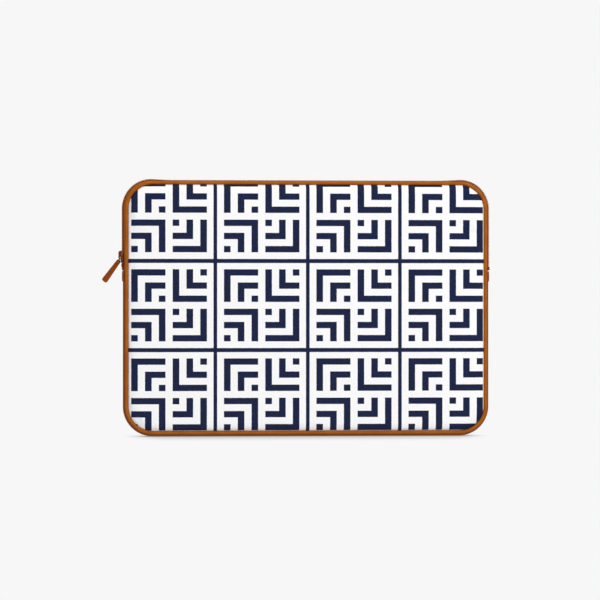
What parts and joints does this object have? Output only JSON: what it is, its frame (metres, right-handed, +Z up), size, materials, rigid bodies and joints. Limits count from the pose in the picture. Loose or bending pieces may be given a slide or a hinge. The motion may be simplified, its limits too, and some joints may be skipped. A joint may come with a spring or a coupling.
{
  "type": "laptop sleeve",
  "caption": "Padded rectangular laptop sleeve with round corners, a geometric line print on both panels, tan piping, and a zip round the top with a hanging pull tab.",
  "frame": {"origin": "middle of the flat underside of the gusset, on which the sleeve stands", "axes": "+X to the right along the width, +Z up towards the zipped mouth, -Y out of the printed front"},
  "size_m": [0.3606, 0.026, 0.2389],
  "materials": {
    "printed_canvas": "woven polyester, white with a navy line print",
    "foam": "closed-cell foam",
    "plush_lining": "short grey plush",
    "cotton_cord": "twisted cotton",
    "binding_tape": "woven tape",
    "tan_leather": "tan artificial leather, fine grain, satin",
    "tan_thread": "polyester thread",
    "pale_thread": "polyester thread",
    "zip_tape": "herringbone zip tape",
    "zip_coil": "nylon monofilament coil",
    "stop_metal": "tan paint, satin",
    "slider_paint": "tan paint, satin",
    "spring_steel": "bare spring steel",
    "pull_leather": "orange-tan artificial leather, satin"
  },
  "bodies": {
    "shell": {"back_cover": "printed_canvas", "back_foam": "foam", "back_lining": "plush_lining", "back_piping": "tan_leather", "back_cord": "cotton_cord", "back_binding": "binding_tape", "front_cover_lower": "printed_canvas", "front_foam_lower": "foam", "front_lining_lower": "plush_lining", "front_piping_lower": "tan_leather", "front_cord_lower": "cotton_cord", "front_binding_lower": "binding_tape", "gusset_strip": "tan_leather", "gusset_lining": "plush_lining", "end_patch_left": "tan_leather", "end_patch_right": "tan_leather", "patch_stitches": "tan_thread", "zip_tape_back": "zip_tape", "zip_tape_front_lower": "zip_tape", "zip_coil_back": "zip_coil", "zip_coil_front_lower": "zip_coil", "zip_stop_left": "stop_metal", "zip_stop_right": "stop_metal"},
    "mouth_flap": {"front_cover_upper": "printed_canvas", "front_foam_upper": "foam", "front_lining_upper": "plush_lining", "front_piping_upper": "tan_leather", "front_cord_upper": "cotton_cord", "front_binding_upper": "binding_tape", "zip_tape_front_upper": "zip_tape", "zip_coil_front_upper": "zip_coil"},
    "zip_slider": {"slider_body": "slider_paint", "slider_bail": "slider_paint", "slider_lock": "spring_steel"},
    "link": {"pull_link": "slider_paint"},
    "tab": {"pull_tab_face": "pull_leather", "pull_tab_back": "pull_leather", "pull_tab_stitches": "pale_thread"}
  },
  "joints": [
    {"name": "mouth_opening", "type": "hinge", "parent": "shell", "child": "mouth_flap", "pos_m": [0, -0.0132, 0.173], "axis": [1, 0, 0], "range_deg": [0, 25]},
    {"name": "slider_travel", "type": "slide", "parent": "shell", "child": "zip_slider", "axis": [0, 0, 1], "range_m": [0, 0.038]},
    {"name": "pull_link_swing", "type": "hinge", "parent": "zip_slider", "child": "link", "pos_m": [-0.1727, 0, 0.1652], "axis": [0, 1, 0], "range_deg": [-1, 88]},
    {"name": "pull_tab_swing", "type": "hinge", "parent": "link", "child": "tab", "pos_m": [-0.17425, 0, 0.16173], "axis": [0, 1, 0], "range_deg": [-22, 18]}
  ]
}
